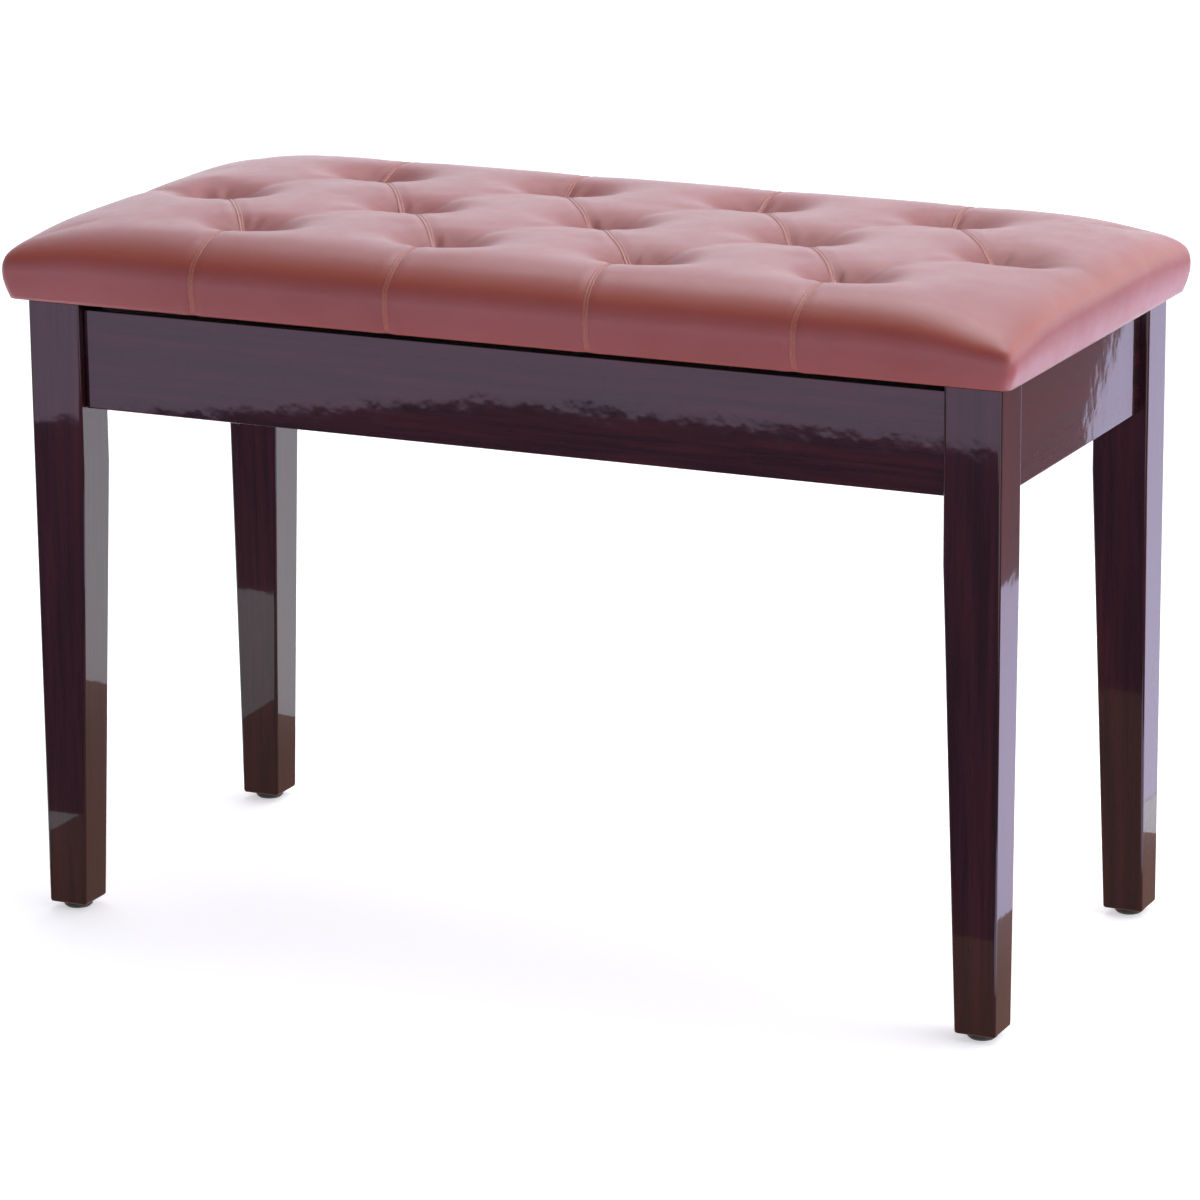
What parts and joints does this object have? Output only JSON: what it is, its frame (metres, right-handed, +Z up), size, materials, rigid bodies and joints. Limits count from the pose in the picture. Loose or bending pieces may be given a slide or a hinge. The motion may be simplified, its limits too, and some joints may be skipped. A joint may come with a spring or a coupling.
{
  "type": "piano bench",
  "caption": "Padded duet piano bench with a tufted seat lid that is hinged at the rear over a shallow music compartment, on tapered square legs.",
  "frame": {"origin": "centre of the footprint on the floor, under the middle of the seat", "axes": "+X along the bench to its right end, +Y to the rear where the lid is hinged, +Z up"},
  "size_m": [0.765, 0.358, 0.515],
  "materials": {
    "dark_lacquer": "gloss",
    "glide_plastic": "satin",
    "zinc_steel": "satin",
    "brass": "satin",
    "yellow_screws": "satin",
    "panel_wood": "matte",
    "plywood": "matte",
    "felt": "matte",
    "foam": "matte",
    "seat_leather": "satin",
    "twine": "matte",
    "anchor_plastic": "matte",
    "black_cambric": "matte"
  },
  "bodies": {
    "frame": {"leg_front_left": "dark_lacquer", "leg_front_right": "dark_lacquer", "leg_rear_left": "dark_lacquer", "leg_rear_right": "dark_lacquer", "glide_front_left": "glide_plastic", "glide_front_right": "glide_plastic", "glide_rear_left": "glide_plastic", "glide_rear_right": "glide_plastic", "glide_nails": "zinc_steel", "front_apron": "dark_lacquer", "rear_apron": "dark_lacquer", "left_apron": "dark_lacquer", "right_apron": "dark_lacquer", "bottom_panel": "panel_wood", "felt_pads": "felt", "corner_plate_front_left": "zinc_steel", "corner_plate_front_right": "zinc_steel", "corner_plate_rear_left": "zinc_steel", "corner_plate_rear_right": "zinc_steel", "hanger_bolts": "zinc_steel", "bolt_washers": "zinc_steel", "wing_nuts": "zinc_steel", "corner_screws": "yellow_screws", "hinge_frame_leaf_left": "brass", "hinge_frame_leaf_right": "brass", "hinge_pin_left": "brass", "hinge_pin_right": "brass", "hinge_frame_screws": "yellow_screws", "stay_block_left": "panel_wood", "stay_block_right": "panel_wood", "stay_stud_left": "zinc_steel", "stay_stud_right": "zinc_steel", "stay_block_screws": "yellow_screws"},
    "lid": {"seat_board": "plywood", "seat_foam": "foam", "seat_cover": "seat_leather", "tuft_twines": "twine", "tuft_anchors": "anchor_plastic", "dust_cover": "black_cambric", "hinge_lid_leaf_left": "brass", "hinge_lid_leaf_right": "brass", "hinge_lid_screws": "yellow_screws", "stay_bracket_left": "zinc_steel", "stay_bracket_right": "zinc_steel", "stay_bracket_screws": "yellow_screws", "stay_rivet_left": "zinc_steel", "stay_rivet_right": "zinc_steel"},
    "stay_left": {"stay_arm_left": "zinc_steel"},
    "stay_right": {"stay_arm_right": "zinc_steel"}
  },
  "joints": [
    {"name": "lid_hinge", "type": "hinge", "parent": "frame", "child": "lid", "pos_m": [0, 0.166, 0.4525], "axis": [-1, 0, 0], "range_deg": [0, 95]},
    {"name": "stay_pivot_left", "type": "hinge", "parent": "lid", "child": "stay_left", "pos_m": [-0.3237, 0.126, 0.4305], "axis": [-1, 0, 0], "range_deg": [-121.6, 0]},
    {"name": "stay_pivot_right", "type": "hinge", "parent": "lid", "child": "stay_right", "pos_m": [0.3237, 0.126, 0.4305], "axis": [-1, 0, 0], "range_deg": [-121.6, 0]}
  ],
  "couplings": [
    {"joint": "stay_pivot_left", "follows": "lid_hinge", "ratio": -1.28},
    {"joint": "stay_pivot_right", "follows": "lid_hinge", "ratio": -1.28}
  ]
}
